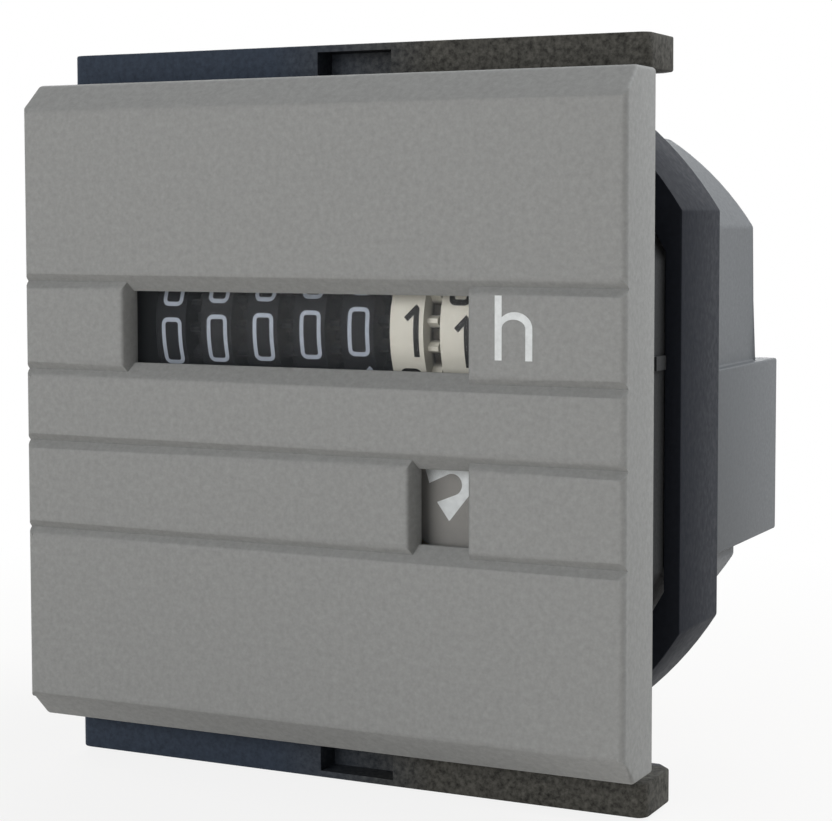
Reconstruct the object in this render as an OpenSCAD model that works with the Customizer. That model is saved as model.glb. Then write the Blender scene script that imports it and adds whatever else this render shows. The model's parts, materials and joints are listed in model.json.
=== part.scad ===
// Panel-mount hour meter: a grooved square bezel with a seven-wheel counter and a run indicator,
// a round-cornered case behind the panel, a slide-on clamp frame, and the synchronous motor,
// gear train and worm drive that turn the wheels.
// The origin is the middle of the bezel's back plane, where the panel lies.
// The front looks along -Y, the case runs back along +Y, and +Z is up.

/* [Bezel] */
// Width and height of the square bezel
bezel_size = 48; // [47:0.5:54]
// Depth of the bezel in front of the panel
bezel_depth = 5.7; // [5.2:0.1:7]
// Size of the slope along the top and bottom edges
edge_chamfer = 2.1; // [1:0.1:2.4]
// Radius of the left and right front edges
side_round = 0.45; // [0.2:0.05:0.8]
// Thickness of the front wall
front_wall = 1.6; // [1.4:0.1:2]
// Half width, and depth, of each groove across the front
groove_half = 0.55; // [0.35:0.05:0.7]
// Height of the outer grooves above and below the middle
groove_outer = 9.3; // [8.8:0.1:10]
// Height of the inner grooves above and below the middle
groove_inner = 2.7; // [2.3:0.1:3]
// Depth of the sloping recess round each window
window_sink = 1.2; // [0.8:0.05:1.3]
// Slope of the recess at the ends of each window
window_draft = 0.35; // [0.1:0.05:0.6]
// Right end of both windows, from the middle
window_right = 12.7; // [12.5:0.1:14]
// Width of the counter window at the front
counter_window_w = 28; // [27.5:0.1:30]
// Width of the run indicator's window at the front
indicator_window_w = 4.65; // [3.5:0.05:5.5]
// Thickness of the clear pane
pane_t = 0.9; // [0.6:0.1:1.2]
// How far the pane reaches past the windows
pane_margin = 1.4; // [0.8:0.1:2]

/* [Case] */
// How far the bezel laps over the neck on each side, to cover a square cut-out
bezel_lip = 1.5; // [1.5:0.05:1.8]
// How much larger the diameter over the neck's corners is than its width, for a round cut-out
neck_corner = 5; // [4:0.1:5.4]
// How far the neck enters the bezel
neck_in = 2.6; // [2:0.1:2.8]
// Clearance of the neck in the bezel
neck_fit = 0.05; // [0.02:0.01:0.15]
// Thickness of the case walls
case_wall = 1.6; // [1.2:0.1:2]
// Step from each side of the neck in to the rear body
body_step = 1.9; // [1.5:0.05:2]
// How much smaller the diameter over the rear body's corners is than the neck's
body_slim = 1; // [0.2:0.1:2]
// Free depth between the motor and the rear wall
motor_room = 2.3; // [2.1:0.1:4]
// Step from the rear wall back to the face of the terminal block
block_step = 4.4; // [4.2:0.1:6]
// Step from the rear wall forward to the lower rear wall
low_step = 4.6; // [3:0.1:6]
// How far the terminal block stands out past each side of the rear body
block_over = 0.8; // [0.4:0.1:1.4]
// Height of the terminal block's top above the middle
block_top = 2.2; // [1:0.1:3]
// Depth of the terminal block's underside below the middle
block_bottom = 12.3; // [12.2:0.1:14]
// Depth of the terminal block, from its face forward
block_depth = 16; // [14:0.5:20]

/* [Terminals] */
// Distance of each terminal from the middle
terminal_x = 12.5; // [10:0.1:14]
// Depth of the terminal screws below the middle
terminal_z = 5.6; // [5.2:0.1:6.5]
// Width of each wiring bay
bay_w = 6.4; // [6:0.1:8]
// Depth of each wiring bay
bay_depth = 4.8; // [4.5:0.1:5]
// Diameter of the terminal screw's thread
screw_d = 3; // [2.5:0.1:3.5]
// Diameter of the terminal screw's head
screw_head_d = 5; // [4.6:0.1:5.4]

/* [Clamp frame] */
// Distance of the clamp frame behind the panel plane
clamp_y = 0.5; // [0.3:0.1:2]
// Thickness of the ring beside the neck's flats
ring_side = 1.2; // [1:0.1:2]
// Thickness of the ring over the neck's corners
ring_corner = 2.5; // [2:0.1:4]
// Gap between each bar and the neck's top or bottom
bar_gap = 2.05; // [2:0.05:3]
// Play of the clamp frame at the sides of the neck
clamp_play = 0.3; // [0.2:0.05:0.4]
// Play of the clamp frame over the neck's corners
corner_play = 0.8; // [0.7:0.05:1]
// How far the clamp frame hangs below the middle
clamp_drop = 0.5; // [0:0.05:0.5]
// How far the clamp frame stands to the left of the middle
clamp_shift = 0.2; // [0:0.05:0.2]
// How much shorter each bar is than the bezel's width
bar_short = 1; // [0:0.1:4]
// Depth of the bars, front to back
bar_depth = 5.9; // [5:0.1:8]
// Thickness of the bars
bar_t = 2.45; // [2.3:0.05:3]
// Depth of the ring, front to back
ring_depth = 8.6; // [6:0.1:10]
// Radius of the bars' front end edges
bar_round = 0.8; // [0.3:0.1:1.2]
// Size of the slope at the bars' rear end edges
bar_slope = 1; // [0.4:0.1:1.6]
// Width of the shallow pocket in each bar
pocket_w = 6; // [4:0.5:10]
// Middle of the pocket, to the right of the frame's middle
pocket_x = 1; // [-4:0.5:4]

/* [Counter] */
// Diameter of a number wheel
wheel_d = 14; // [13.4:0.1:14.4]
// Width of a number wheel's printed face
wheel_face = 2.6; // [2.3:0.05:2.7]
// Distance from one number wheel to the next
wheel_pitch = 3.9; // [3.85:0.05:4]
// Middle of the row of wheels, from the middle of the bezel
counter_x = -1.2; // [-1.6:0.1:-0.8]
// Gap between the pane and the wheels
wheel_gap = 0.4; // [0.3:0.05:0.8]
// Thickness of a number wheel's rim
rim_t = 0.9; // [0.6:0.1:1.2]
// Diameter of the wheel axle
axle_d = 1.5; // [1.2:0.1:2]
// Diameter of the pinion axle
pinion_axle_d = 1.2; // [1:0.1:1.4]
// Running clearance of shafts in their holes
run_gap = 0.04; // [0.02:0.01:0.08]
// Thickness of the counter frame and the gear plates
sheet_t = 0.8; // [0.6:0.1:1]

/* [Gear train] */
// Module of the motor's gear train
train_module = 0.3; // [0.28:0.01:0.31]
// Module of the worm and its wheel
worm_module = 0.35; // [0.33:0.01:0.37]
// Pitch diameter of the worm
worm_d = 2.8; // [2.6:0.1:3]
// Thickness of the gears
gear_t = 0.8; // [0.6:0.1:1]
// Diameter of the run indicator's disc
indicator_d = 8.8; // [8.6:0.1:9.4]
// Diameter of the arbors
arbor_d = 1.2; // [1:0.1:1.4]

/* [Motor] */
// Outer diameter of the stator cup
motor_d = 20.8; // [20.4:0.1:21]
// Length of the stator cup
motor_len = 8.1; // [7:0.1:9]
// Diameter of the magnet rotor
rotor_d = 12; // [11:0.1:12.4]

/* [Hidden] */
$fn = 64;
wheel_count = 7;
pinion_count = wheel_count - 1;
// Angle up from the front of each wheel's showing digit, left to right
wheel_rest = [-10.9, -8.6, -7.1, -5, -2.4, -1.8, -7.5];
digit_count = 10;
ring_teeth = 20;
pinion_teeth = 8;
worm_wheel_teeth = 24;
indicator_teeth = 50;
layshaft_teeth = 48;
link_teeth = 20;
pole_pairs = 8;
cut = 1;
press_gap = 0.01;

// Widths, heights and corner diameters that follow from the bezel's size
bezel_w = bezel_size;
bezel_h = bezel_size;
neck_w = bezel_size - 2 * bezel_lip;
neck_d = neck_w + neck_corner;
body_w = neck_w - 2 * body_step;
body_d = neck_d - body_slim;
block_w = body_w + 2 * block_over;

// Heights of the two rows of windows, and the half height of their openings
row_z = (groove_outer + groove_inner) / 2;
window_half = (groove_outer - groove_inner) / 2 + groove_half - window_sink;
counter_left = window_right - counter_window_w;
indicator_left = window_right - indicator_window_w;

// Depths from front to back
pane_y = front_wall - bezel_depth;
wheel_r = wheel_d / 2;
axis_y = pane_y + pane_t + wheel_gap + wheel_r;
back_room = 2.7;
frame_y = axis_y + wheel_r + back_room;
plate_y = frame_y + sheet_t;
ledge_y = plate_y + sheet_t;
neck_end = ledge_y + case_wall;
gear_room = 1.5;
level_b = ledge_y + gear_room;
gear_step = 1.1;
level_c = level_b + gear_t + gear_step;
rear_plate_y = level_c + gear_t + 1;
motor_y = rear_plate_y + sheet_t;
motor_end = motor_y + motor_len;
body_rear = motor_end + motor_room + case_wall;
low_rear = body_rear - low_step;
block_rear = body_rear + block_step;
body_reach = max(body_w, body_d);
// Width of the ledge that the neck's front end meets inside the bezel
seat_lip = 3;

// Number wheel and transfer pinion teeth
rim_step = 0.65;
tooth_add = 0.45;
tooth_ded = 0.55;
ring_tip = wheel_r - rim_step;
ring_pitch = ring_tip - tooth_add;
ring_w = 0.8;
counter_module = 2 * ring_pitch / ring_teeth;
pinion_pitch = counter_module * pinion_teeth / 2;
pinion_tip = pinion_pitch + tooth_add;
lock_w = 0.38;
lock_gap = 0.15;
transfer_tip = ring_pitch + pinion_pitch - pinion_tip - lock_gap;
lock_r = transfer_tip - 0.4;
hub_r = axle_d / 2 + 0.9;
web_t = 0.8;
side_gap = 0.1;
// The pinion axle lies below and behind the wheel axle
pinion_angle = -60;
pinion_y = axis_y + (ring_pitch + pinion_pitch) * cos(pinion_angle);
pinion_z = row_z + (ring_pitch + pinion_pitch) * sin(pinion_angle);

// Counter frame
cheek_gap = 0.3;
cheek_left = wheel_x(1) - wheel_face / 2 - lock_w - cheek_gap - sheet_t;
cheek_right = wheel_x(wheel_count) + wheel_face / 2 + ring_w + cheek_gap;
cheek_r = 2.6;
frame_low = 0.5;
frame_rise = 4.5;
frame_high = row_z + frame_rise;
frame_screw_x = 11;
frame_screw_z = row_z + 2;

// Worm drive
worm_wheel_w = 1.2;
worm_gap = 0.9;
worm_x = cheek_right + sheet_t + worm_gap + worm_wheel_w / 2;
worm_wheel_r = worm_module * worm_wheel_teeth / 2;
worm_z = pinion_z - worm_wheel_r - worm_d / 2;
worm_turns = 3.5;
worm_pitch = PI * worm_module;
worm_len = worm_turns * worm_pitch;
worm_y = pinion_y - worm_len / 2;
worm_wave = 0.3;
worm_sides = 16;
lug_gap = 0.7;
lug_y = worm_y - lug_gap - sheet_t;
lug_r = 1.7;
drive_hub_r = pinion_axle_d / 2 + 0.9;

// Run indicator and gear train axes, as x and z
indicator_at = [window_right - indicator_window_w / 2 - 0.25, 1.2 - row_z];
worm_at = [worm_x, worm_z];
link_module = norm(worm_at - indicator_at) / link_teeth;
link_y = frame_y - gear_t - side_gap;
disc_t = 0.6;
disc_y = pane_y + pane_t + wheel_gap;
layshaft_angle = 120;
layshaft_far = train_module * (indicator_teeth + pinion_teeth) / 2;
layshaft_at = indicator_at + layshaft_far * [cos(layshaft_angle), sin(layshaft_angle)];
rotor_angle = 200;
rotor_far = train_module * (layshaft_teeth + pinion_teeth) / 2;
rotor_at = layshaft_at + rotor_far * [cos(rotor_angle), sin(rotor_angle)];
pivot_r = arbor_d / 3;
pivot_end = 0.1;
window_at = 0.585;
window_size = 0.195;
hub_wall = 0.8;
hub_len = 1.2;
post_r = 1.2;
plate_inset = 2.2;
spigot_r = 0.7;
posts_at = [[-14, 10], [14, 10], [-14, -10], [3, -14]];

// Phases that put each pair of gears in mesh
indicator_phase = 0;
link_phase = mesh_phase(link_teeth, indicator_phase, bearing(indicator_at, worm_at), link_teeth);
layshaft_phase = mesh_phase(indicator_teeth, indicator_phase, layshaft_angle, pinion_teeth);
rotor_phase = mesh_phase(layshaft_teeth, layshaft_phase, rotor_angle, pinion_teeth);
worm_wheel_phase = 270;

// Motor
cup_wall = 0.8;
pole_t = 0.6;
pole_gap = 0.35;
pole_r = rotor_d / 2 + pole_gap;
pole_arc = 13;
spool_in = pole_r + pole_t + 0.2;
spool_out = motor_d / 2 - cup_wall - 0.2;
spool_wall = 0.5;
spool_y = motor_y + pole_t + 0.1;
spool_len = motor_len - cup_wall - pole_t - 0.2;
rotor_front = 1.6;
rotor_back = 1.4;
rotor_len = motor_len - rotor_front - rotor_back;
rotor_y = motor_y + rotor_front;
lead_r = 0.25;
sleeve_r = 0.32;
lead_over = 0.5;
lead_hole_r = 0.5;
lead_at = (spool_in + spool_out) / 2;

// Terminals
bay_floor = block_rear - bay_depth;
bay_top = terminal_z - screw_head_d / 2 - 0.7;
strip_t = 0.8;
strip_w = bay_w - 0.6;
strip_h = screw_head_d + 0.6;
tab_w = 3;
tab_out = 1.6;
tab_len = bay_floor - body_rear + case_wall + tab_out;
tab_z = -terminal_z + strip_h / 2 - strip_t;
washer_t = 0.8;
washer_w = bay_w - 1;
washer_h = screw_head_d + 0.4;
head_t = 1.6;
slot_w = 0.7;
slot_depth = 0.8;
shank_len = bay_floor - body_rear + case_wall;
shank_end = 0.3;
lead_y = body_rear - case_wall - tab_out / 2;
lead_z = tab_z + strip_t + sleeve_r;
lead_turn = asin((rotor_at[1] - lead_z) / lead_at);

// Clamp frame
clamp_w = neck_w + 2 * (clamp_play + ring_side);
clamp_d = neck_d + 2 * (corner_play + ring_corner);
clamp_h = neck_w + 2 * (bar_gap + bar_t);
bar_w = bezel_w - bar_short;
bar_lap = 0.4;
ring_y = clamp_y + bar_depth - bar_lap;
bar_in = clamp_h / 2 - bar_t;
pocket_depth = 2.2;
pocket_edge = 0.5;
rail_w = 8;
rail_h = 0.9;
rail_root = 0.5;
rail_start = 2.5;
rail_pitch = 1.5;
rail_count = floor((neck_end - rail_start) / rail_pitch);
pawl_w = 6;
pawl_gap = 0.25;
pawl_tip = 1;
pawl_slope = 1.4;
pawl_top = 1;
nib_h = 1;
nib_out = 0.25;
nib_z = 3.8;
nib_start = 3.8;
nib_gap = 0.2;

// Middle of a number wheel's face, counted from the left
function wheel_x(i) = counter_x + (i - (wheel_count + 1) / 2) * wheel_pitch;

// Direction from one axis to another, in degrees
function bearing(a, b) = atan2(b[1] - a[1], b[0] - a[0]);

// Phase of gear b that meshes with gear a, whose tooth stands at phase_a
function mesh_phase(n_a, phase_a, toward_b, n_b) =
    toward_b + 180 - (0.5 - (toward_b - phase_a) * n_a / 360) * 360 / n_b;

// Outline of a gear, with one tooth at angle 0; widths are shares of the tooth pitch
function gear_points(n, root, pitch_r, tip, widths) =
    [for (i = [0:n - 1])
        for (p = [[root, -widths[0]], [pitch_r, -widths[1]], [tip, -widths[2]],
                  [tip, widths[2]], [pitch_r, widths[1]], [root, widths[0]]])
            p[0] * [cos((i + p[1] / 2) * 360 / n), sin((i + p[1] / 2) * 360 / n)]];

// Tooth widths at the root, the pitch circle and the tip
wheel_widths = [0.56, 0.42, 0.16];
leaf_widths = [0.36, 0.36, 0.18];
worm_wheel_widths = [0.34, 0.26, 0.12];

// Extrudes a y, z outline along X
module along_x(x, len) {
    translate([x, 0, 0]) rotate([90, 0, 90]) linear_extrude(len) children();
}

// Extrudes an x, z outline along Y
module along_y(y, len) {
    translate([0, y + len, 0]) rotate([90, 0, 0]) linear_extrude(len) children();
}

// Square with its corners cut by a circle, grown by a gap
module rounded_square(width, diameter, gap) {
    intersection() {
        circle(diameter / 2 + gap);
        square(width + 2 * gap, center = true);
    }
}

// Outline of a gear in the train, turned to its phase
module train_gear(n, module_size, phase, widths) {
    r = n * module_size / 2;
    rotate(phase)
        polygon(gear_points(n, r - 1.25 * module_size, r, r + 0.85 * module_size, widths));
}

module train_pinion(module_size, phase) {
    r = pinion_teeth * module_size / 2;
    rotate(phase)
        polygon(gear_points(pinion_teeth, r - 1.2 * module_size, r, r + 0.65 * module_size, leaf_widths));
}

// Profile of the bezel from bottom to top, with its slopes and grooves
function groove(z) =
    [[-bezel_depth, z - groove_half], [groove_half - bezel_depth, z], [-bezel_depth, z + groove_half]];

face_profile = concat(
    [[0, -bezel_h / 2], [edge_chamfer - bezel_depth, -bezel_h / 2], [-bezel_depth, edge_chamfer - bezel_h / 2]],
    [for (z = [-groove_outer, -groove_inner, groove_inner, groove_outer]) each groove(z)],
    [[-bezel_depth, bezel_h / 2 - edge_chamfer], [edge_chamfer - bezel_depth, bezel_h / 2], [0, bezel_h / 2]]
);

// Plan of the bezel, with its front side edges rounded
module bezel_plan() {
    translate([-bezel_w / 2, side_round - bezel_depth]) square([bezel_w, bezel_depth - side_round]);
    translate([side_round - bezel_w / 2, -bezel_depth]) square([bezel_w - 2 * side_round, bezel_depth]);
    for (s = [-1, 1])
        translate([s * (bezel_w / 2 - side_round), side_round - bezel_depth]) circle(side_round);
}

// Window opening with sloping recess walls
module window_cut(left, right, mid) {
    front = -bezel_depth;
    half = window_half + window_sink;
    intersection() {
        along_x(left - cut, right - left + 2 * cut)
            polygon([[front - cut, mid - half - cut], [front + window_sink, mid - window_half],
                     [cut, mid - window_half], [cut, mid + window_half],
                     [front + window_sink, mid + window_half], [front - cut, mid + half + cut]]);
        translate([0, 0, mid - half - cut])
            linear_extrude(2 * (half + cut))
                polygon([[left, front - cut], [left, front], [left + window_draft, front + window_sink],
                         [left + window_draft, cut], [right - window_draft, cut],
                         [right - window_draft, front + window_sink], [right, front], [right, front - cut]]);
    }
}

module front_bezel() {
    hollow = neck_w - 2 * seat_lip;
    color("#8c8e8d") difference() {
        intersection() {
            along_x(-bezel_w / 2, bezel_w) polygon(face_profile);
            translate([0, 0, -bezel_h / 2]) linear_extrude(bezel_h) bezel_plan();
        }
        along_y(-neck_in, neck_in + cut) rounded_square(neck_w, neck_d, neck_fit);
        along_y(pane_y, bezel_depth) square(hollow, center = true);
        window_cut(counter_left, window_right, row_z);
        window_cut(indicator_left, window_right, -row_z);
    }
}

module window_pane() {
    high = 2 * (groove_outer + pane_margin - 0.6);
    left = counter_left - pane_margin;
    color("#dfe8ee", 0.3)
        along_y(pane_y, pane_t)
            translate([left, -high / 2]) square([window_right + pane_margin - left, high]);
}

// Rear profile of the body: tall wall, terminal block level and stepped lower wall
function rear_profile(start, wall) =
    [[start, -body_reach], [low_rear - wall, -body_reach], [low_rear - wall, wall - block_bottom],
     [body_rear - wall, wall - block_bottom], [body_rear - wall, body_reach], [start, body_reach]];

// Saw-tooth rail that the clamp frame's pawls ride along
module clamp_rail() {
    along_x(-rail_w / 2, rail_w)
        for (i = [0:rail_count - 1])
            translate([rail_start + i * rail_pitch, neck_w / 2])
                polygon([[0, -rail_root], [rail_pitch, -rail_root], [rail_pitch, 0], [0, rail_h]]);
}

// Small nib on each side of the neck, in front of the clamp frame's ring
module side_nib(s) {
    reach = ring_y - nib_gap - nib_start;
    translate([s * (neck_w / 2 + nib_out / 2 - rail_root / 2), nib_start + reach / 2, nib_z])
        cube([nib_out + rail_root, reach, nib_h], center = true);
}

// Wiring bay with its screw hole and the slot for the terminal's tab
module terminal_bay(s) {
    translate([s * terminal_x, 0, 0]) {
        translate([-bay_w / 2, bay_floor, -block_bottom - cut])
            cube([bay_w, bay_depth + cut, block_bottom - bay_top + cut]);
        along_y(bay_floor - shank_len, shank_len + cut) translate([0, -terminal_z]) circle(screw_d / 2 + 0.3);
        translate([-tab_w / 2 - neck_fit, body_rear - case_wall - cut, tab_z - neck_fit])
            cube([tab_w + 2 * neck_fit, bay_depth + block_step, strip_t + 2 * neck_fit]);
    }
}

module meter_case() {
    color("#7e8284") difference() {
        union() {
            along_y(-neck_in, neck_in + neck_end) rounded_square(neck_w, neck_d, 0);
            intersection() {
                along_y(ledge_y, body_rear - ledge_y) rounded_square(body_w, body_d, 0);
                along_x(-body_reach, 2 * body_reach) polygon(rear_profile(ledge_y, 0));
            }
            translate([-block_w / 2, block_rear - block_depth, -block_bottom])
                cube([block_w, block_depth, block_bottom + block_top]);
            clamp_rail();
            mirror([0, 0, 1]) clamp_rail();
            for (s = [-1, 1]) side_nib(s);
        }
        along_y(-neck_in - cut, neck_in + cut + ledge_y) rounded_square(neck_w, neck_d, -case_wall);
        intersection() {
            along_y(ledge_y - cut, body_rear) rounded_square(body_w, body_d, -case_wall);
            along_x(-body_reach, 2 * body_reach) polygon(rear_profile(ledge_y - cut, case_wall));
        }
        for (s = [-1, 1]) terminal_bay(s);
    }
}

// Bar that bears on the back of the panel, with rounded front ends, sloped rear ends and a shallow pocket
module clamp_bar() {
    bar_back = clamp_y + bar_depth;
    difference() {
        translate([0, 0, bar_in]) linear_extrude(bar_t) {
            polygon([[-bar_w / 2, clamp_y + bar_round], [bar_w / 2, clamp_y + bar_round],
                     [bar_w / 2, bar_back - bar_slope], [bar_w / 2 - bar_slope, bar_back],
                     [bar_slope - bar_w / 2, bar_back], [-bar_w / 2, bar_back - bar_slope]]);
            translate([bar_round - bar_w / 2, clamp_y]) square([bar_w - 2 * bar_round, bar_depth - bar_slope]);
            for (s = [-1, 1])
                translate([s * (bar_w / 2 - bar_round), clamp_y + bar_round]) circle(bar_round);
        }
        translate([pocket_x - pocket_w / 2, clamp_y - cut, bar_in - cut])
            cube([pocket_w, pocket_depth + cut, bar_t - pocket_edge + cut]);
    }
}

// Pawl that reaches in towards the rail, clear of its crests
module clamp_pawl() {
    low = neck_w / 2 + rail_h + pawl_gap + clamp_drop;
    top = neck_d / 2 + corner_play + pawl_top;
    tip_end = ring_y + pawl_tip;
    along_x(-pawl_w / 2, pawl_w)
        polygon([[ring_y, top], [ring_y, low], [tip_end, low], [tip_end + pawl_slope, top]]);
}

module clamp_frame() {
    color("#2b2d31") translate([-clamp_shift, 0, -clamp_drop]) {
        along_y(ring_y, ring_depth) difference() {
            intersection() {
                circle(clamp_d / 2);
                square([clamp_w, clamp_h], center = true);
            }
            intersection() {
                circle(neck_d / 2 + corner_play);
                square([neck_w + 2 * clamp_play, clamp_h], center = true);
            }
        }
        clamp_bar();
        mirror([0, 0, 1]) clamp_bar();
        clamp_pawl();
        mirror([0, 0, 1]) clamp_pawl();
    }
}

// Side outline of the counter frame: round the wheel axle, down to the pinion axle and back to the plate
module cheek_outline() {
    translate([axis_y, row_z]) circle(cheek_r);
    translate([pinion_y, pinion_z]) circle(cheek_r);
    polygon([[axis_y, row_z + cheek_r], [frame_y + sheet_t, frame_high], [frame_y + sheet_t, frame_low],
             [pinion_y + cheek_r * cos(45), pinion_z + cheek_r * sin(45)], [pinion_y, pinion_z],
             [pinion_y - cheek_r, pinion_z], [axis_y - cheek_r, row_z], [axis_y, row_z]]);
}

// Folded lug that carries the front end of the worm shaft
module worm_lug() {
    tail = 2.6;
    along_x(cheek_right, sheet_t)
        polygon([[lug_y, worm_z - lug_r], [lug_y + sheet_t, worm_z - lug_r], [lug_y + tail, pinion_z - cheek_r / 2],
                 [pinion_y, pinion_z], [pinion_y - cheek_r, pinion_z], [lug_y, pinion_z - cheek_r]]);
    along_y(lug_y, sheet_t) {
        translate(worm_at) circle(lug_r);
        translate([cheek_right, worm_z - lug_r]) square([worm_x - cheek_right, 2 * lug_r]);
    }
}

module counter_frame() {
    color("#b9bcc0") difference() {
        union() {
            along_x(cheek_left, sheet_t) cheek_outline();
            along_x(cheek_right, sheet_t) cheek_outline();
            along_y(frame_y, sheet_t)
                translate([cheek_left, frame_low])
                    square([cheek_right + sheet_t - cheek_left, frame_high - frame_low]);
            worm_lug();
        }
        along_x(cheek_left - cut, cheek_right - cheek_left + 2 * sheet_t + 2 * cut)
            translate([axis_y, row_z]) circle(axle_d / 2 + press_gap);
        along_x(cheek_left - cut, sheet_t + 2 * cut)
            translate([pinion_y, pinion_z]) circle(pinion_axle_d / 2 + press_gap);
        along_x(cheek_right - cut, sheet_t + 2 * cut)
            translate([pinion_y, pinion_z]) circle(drive_hub_r + run_gap);
        along_y(lug_y - cut, sheet_t + 2 * cut) translate(worm_at) circle(arbor_d / 2 + run_gap);
        for (s = [-1, 1])
            along_y(frame_y - cut, sheet_t + 2 * cut)
                translate([s * frame_screw_x, frame_screw_z]) circle(spigot_r + press_gap);
    }
}

module frame_screws() {
    color("#c8cacc") for (s = [-1, 1]) {
        along_y(frame_y, 2 * sheet_t) translate([s * frame_screw_x, frame_screw_z]) circle(spigot_r);
        along_y(frame_y - 1, 1) translate([s * frame_screw_x, frame_screw_z]) difference() {
            circle(2 * spigot_r);
            square([0.4, 5 * spigot_r], center = true);
        }
        along_y(frame_y - 0.4, 0.4) translate([s * frame_screw_x, frame_screw_z]) circle(2 * spigot_r);
    }
}

module wheel_axle() {
    over = 0.5;
    color("#c9ccd0")
        along_x(cheek_left - over, cheek_right - cheek_left + sheet_t + 2 * over)
            translate([axis_y, row_z]) circle(axle_d / 2);
}

module pinion_axle() {
    over = 0.5;
    color("#c9ccd0")
        along_x(cheek_left - over, worm_x + worm_wheel_w / 2 - cheek_left + 2 * over)
            translate([pinion_y, pinion_z]) circle(pinion_axle_d / 2);
}

// Angle of a wheel's teeth: a tooth space stands at the middle of its showing digit
function ring_phase(i) = 180 - wheel_rest[i - 1] - 180 / ring_teeth;

module ring_gear(i) {
    translate([axis_y, row_z]) rotate(ring_phase(i))
        polygon(gear_points(ring_teeth, ring_pitch - tooth_ded, ring_pitch, ring_tip, wheel_widths));
}

// Disc with a pair of teeth that passes one tenth of a turn to the next wheel
module transfer_disc(i) {
    translate([axis_y, row_z]) rotate(ring_phase(i)) difference() {
        union() {
            circle(lock_r);
            intersection() {
                circle(transfer_tip);
                for (s = [-1, 1])
                    rotate(s * 180 / ring_teeth) translate([0, -0.35]) square([2 * lock_r, 0.7]);
            }
        }
        translate([lock_r, 0]) circle(0.45);
    }
}

module number_wheel(i) {
    left = wheel_x(i) - wheel_face / 2;
    color(i > wheel_count - 2 ? "#d8d5c8" : "#1d1e20") difference() {
        union() {
            along_x(left, wheel_face) translate([axis_y, row_z]) circle(wheel_r);
            along_x(left + wheel_face, ring_w) ring_gear(i);
            along_x(left - lock_w, lock_w) transfer_disc(i);
        }
        along_x(left, wheel_face - web_t) translate([axis_y, row_z]) difference() {
            circle(wheel_r - rim_t);
            circle(hub_r);
        }
        along_x(left - lock_w, lock_w) translate([axis_y, row_z]) difference() {
            circle(lock_r - 1.2);
            circle(hub_r);
            square([2 * lock_r, 1.2], center = true);
        }
        along_x(left - cut, wheel_face + ring_w + 2 * cut)
            translate([axis_y, row_z]) circle(axle_d / 2 + run_gap);
    }
}

// Phase of the pinion that meshes with a wheel's ring of teeth
function pinion_phase(i) = mesh_phase(ring_teeth, ring_phase(i), pinion_angle, pinion_teeth);

module pinion_outline(i, teeth) {
    root = pinion_pitch - tooth_ded;
    step = pinion_teeth / teeth;
    translate([pinion_y, pinion_z]) rotate(pinion_phase(i))
        polygon(gear_points(teeth, root, pinion_pitch, pinion_tip, leaf_widths / step));
}

module transfer_pinion(i) {
    left = wheel_x(i) + wheel_face / 2;
    gap = wheel_pitch - wheel_face;
    color("#e4e2da") difference() {
        union() {
            along_x(left + side_gap, ring_w - side_gap) pinion_outline(i, pinion_teeth);
            along_x(left + ring_w, gap - ring_w - side_gap) pinion_outline(i, pinion_teeth / 2);
        }
        along_x(left, gap) translate([pinion_y, pinion_z]) circle(pinion_axle_d / 2 + run_gap);
    }
}

module counter_drive_wheel() {
    left = wheel_x(wheel_count) + wheel_face / 2 + side_gap;
    right = worm_x + worm_wheel_w / 2;
    teeth = gear_points(worm_wheel_teeth, worm_wheel_r - 0.4, worm_wheel_r, worm_wheel_r + 0.22, worm_wheel_widths);
    color("#e4e2da") difference() {
        union() {
            along_x(left, ring_w - side_gap) pinion_outline(wheel_count, pinion_teeth);
            along_x(left, right - left) translate([pinion_y, pinion_z]) circle(drive_hub_r);
            along_x(right - worm_wheel_w, worm_wheel_w)
                translate([pinion_y, pinion_z]) rotate(worm_wheel_phase) polygon(teeth);
        }
        along_x(left - cut, right - left + 2 * cut)
            translate([pinion_y, pinion_z]) circle(pinion_axle_d / 2 + run_gap);
    }
}

// Single-start thread: an off-centre circle twisted along the shaft
module worm_thread() {
    twist = -360 * worm_turns;
    translate([worm_x, worm_y + worm_len, worm_z]) rotate([90, 0, 0])
        linear_extrude(worm_len, twist = twist, slices = ceil(worm_sides * worm_turns), $fn = worm_sides)
            rotate(270 + twist / 2) translate([worm_wave, 0]) circle(worm_d / 2 - 0.1, $fn = worm_sides);
}

module worm_shaft() {
    color("#c4a35a") {
        worm_thread();
        along_y(lug_y - 0.3, ledge_y + 0.3 - lug_y + 0.3) translate(worm_at) circle(arbor_d / 2);
        along_y(worm_y + worm_len, link_y - worm_y - worm_len) translate(worm_at) circle(arbor_d / 2 + 0.4);
        along_y(link_y, gear_t) translate(worm_at) train_gear(link_teeth, link_module, link_phase, wheel_widths);
    }
}

// Disc with a slight dish at its middle, on the front of the indicator arbor
module indicator_disc() {
    color("#5f5f5b") difference() {
        union() {
            along_y(disc_y, disc_t) translate(indicator_at) circle(indicator_d / 2);
            along_y(disc_y + disc_t, hub_len) translate(indicator_at) circle(arbor_d / 2 + hub_wall);
        }
        along_y(disc_y + disc_t / 2, disc_t + hub_len) translate(indicator_at) circle(arbor_d / 2 + press_gap);
    }
}

module indicator_arbor() {
    start = disc_y + disc_t / 2;
    color("#c9ccd0") {
        along_y(start, ledge_y - start + 0.2) translate(indicator_at) circle(arbor_d / 2);
        along_y(ledge_y, rear_plate_y - 0.2 - ledge_y) translate(indicator_at) circle(arbor_d / 2);
        along_y(rear_plate_y - 0.2, sheet_t + 0.4) translate(indicator_at) circle(pivot_r);
    }
}

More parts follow.
